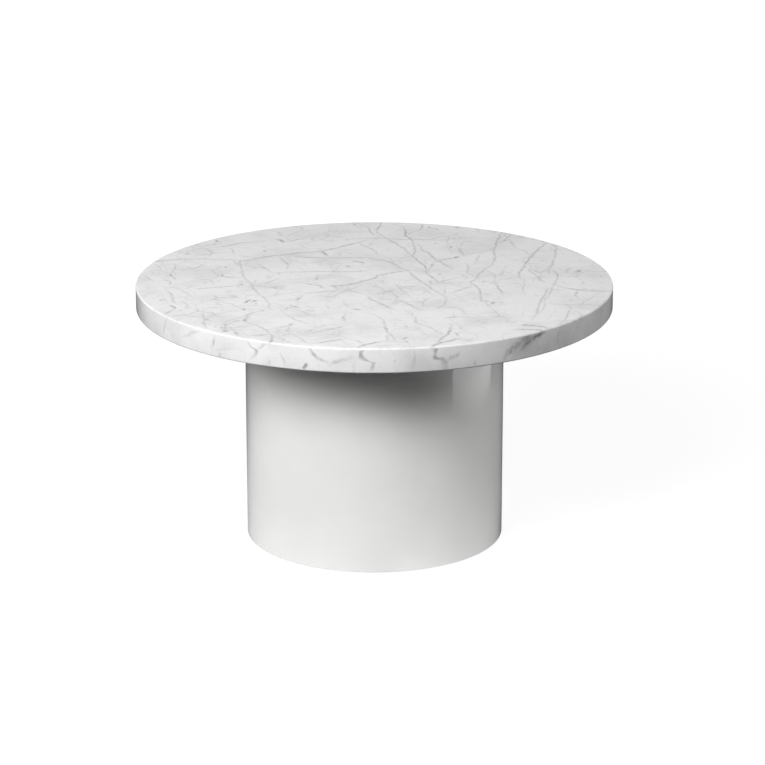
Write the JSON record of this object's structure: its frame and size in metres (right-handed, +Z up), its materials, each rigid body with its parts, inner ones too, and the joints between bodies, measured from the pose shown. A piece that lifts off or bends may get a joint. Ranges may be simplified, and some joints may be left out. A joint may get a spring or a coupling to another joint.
{
  "type": "round cocktail table",
  "caption": "Low round table: a thick polished marble disc screwed to a white coated steel drum that stands on adjustable levelling glides.",
  "frame": {"origin": "on the floor, under the middle of the drum", "axes": "+Z up along the axis of drum and disc; -Y towards the camera of the picture"},
  "size_m": [0.5499, 0.55, 0.305],
  "materials": {
    "marble": "polished white marble with thin grey veins",
    "white_coat": "smooth semi-gloss white powder coat",
    "zinc_steel": "bright zinc plated",
    "brass": "turned, plain",
    "silicone": "clear silicone",
    "nylon": "moulded dark grey nylon"
  },
  "bodies": {
    "base": {"marble_top": "marble", "drum_shell": "white_coat", "top_plate": "white_coat", "foot_ring": "white_coat", "top_plate_welds": "white_coat", "foot_ring_welds": "white_coat", "bumper_pads": "silicone", "stone_inserts": "brass", "top_screws": "zinc_steel", "top_screw_washers": "zinc_steel", "glide_nuts": "zinc_steel"},
    "glide_foot_back_right": {"glide_foot_back_right": "nylon"},
    "glide_stem_back_right": {"glide_stem_back_right": "zinc_steel"},
    "glide_foot_back_left": {"glide_foot_back_left": "nylon"},
    "glide_stem_back_left": {"glide_stem_back_left": "zinc_steel"},
    "glide_foot_front_left": {"glide_foot_front_left": "nylon"},
    "glide_stem_front_left": {"glide_stem_front_left": "zinc_steel"},
    "glide_foot_front_right": {"glide_foot_front_right": "nylon"},
    "glide_stem_front_right": {"glide_stem_front_right": "zinc_steel"}
  },
  "joints": [
    {"name": "glide_lift_back_right", "type": "slide", "parent": "base", "child": "glide_foot_back_right", "axis": [0, 0, -1], "range_m": [0, 0.008]},
    {"name": "glide_turn_back_right", "type": "hinge", "parent": "glide_foot_back_right", "child": "glide_stem_back_right", "pos_m": [0.08839, 0.08839, 0], "axis": [0, 0, -1], "range_deg": [0, 2300]},
    {"name": "glide_lift_back_left", "type": "slide", "parent": "base", "child": "glide_foot_back_left", "axis": [0, 0, -1], "range_m": [0, 0.008]},
    {"name": "glide_turn_back_left", "type": "hinge", "parent": "glide_foot_back_left", "child": "glide_stem_back_left", "pos_m": [-0.08839, 0.08839, 0], "axis": [0, 0, -1], "range_deg": [0, 2300]},
    {"name": "glide_lift_front_left", "type": "slide", "parent": "base", "child": "glide_foot_front_left", "axis": [0, 0, -1], "range_m": [0, 0.008]},
    {"name": "glide_turn_front_left", "type": "hinge", "parent": "glide_foot_front_left", "child": "glide_stem_front_left", "pos_m": [-0.08839, -0.08839, 0], "axis": [0, 0, -1], "range_deg": [0, 2300]},
    {"name": "glide_lift_front_right", "type": "slide", "parent": "base", "child": "glide_foot_front_right", "axis": [0, 0, -1], "range_m": [0, 0.008]},
    {"name": "glide_turn_front_right", "type": "hinge", "parent": "glide_foot_front_right", "child": "glide_stem_front_right", "pos_m": [0.08839, -0.08839, 0], "axis": [0, 0, -1], "range_deg": [0, 2300]}
  ],
  "couplings": [
    {"joint": "glide_lift_back_right", "follows": "glide_turn_back_right", "m_per_rad": 0.00019894},
    {"joint": "glide_lift_back_left", "follows": "glide_turn_back_left", "m_per_rad": 0.00019894},
    {"joint": "glide_lift_front_left", "follows": "glide_turn_front_left", "m_per_rad": 0.00019894},
    {"joint": "glide_lift_front_right", "follows": "glide_turn_front_right", "m_per_rad": 0.00019894}
  ]
}
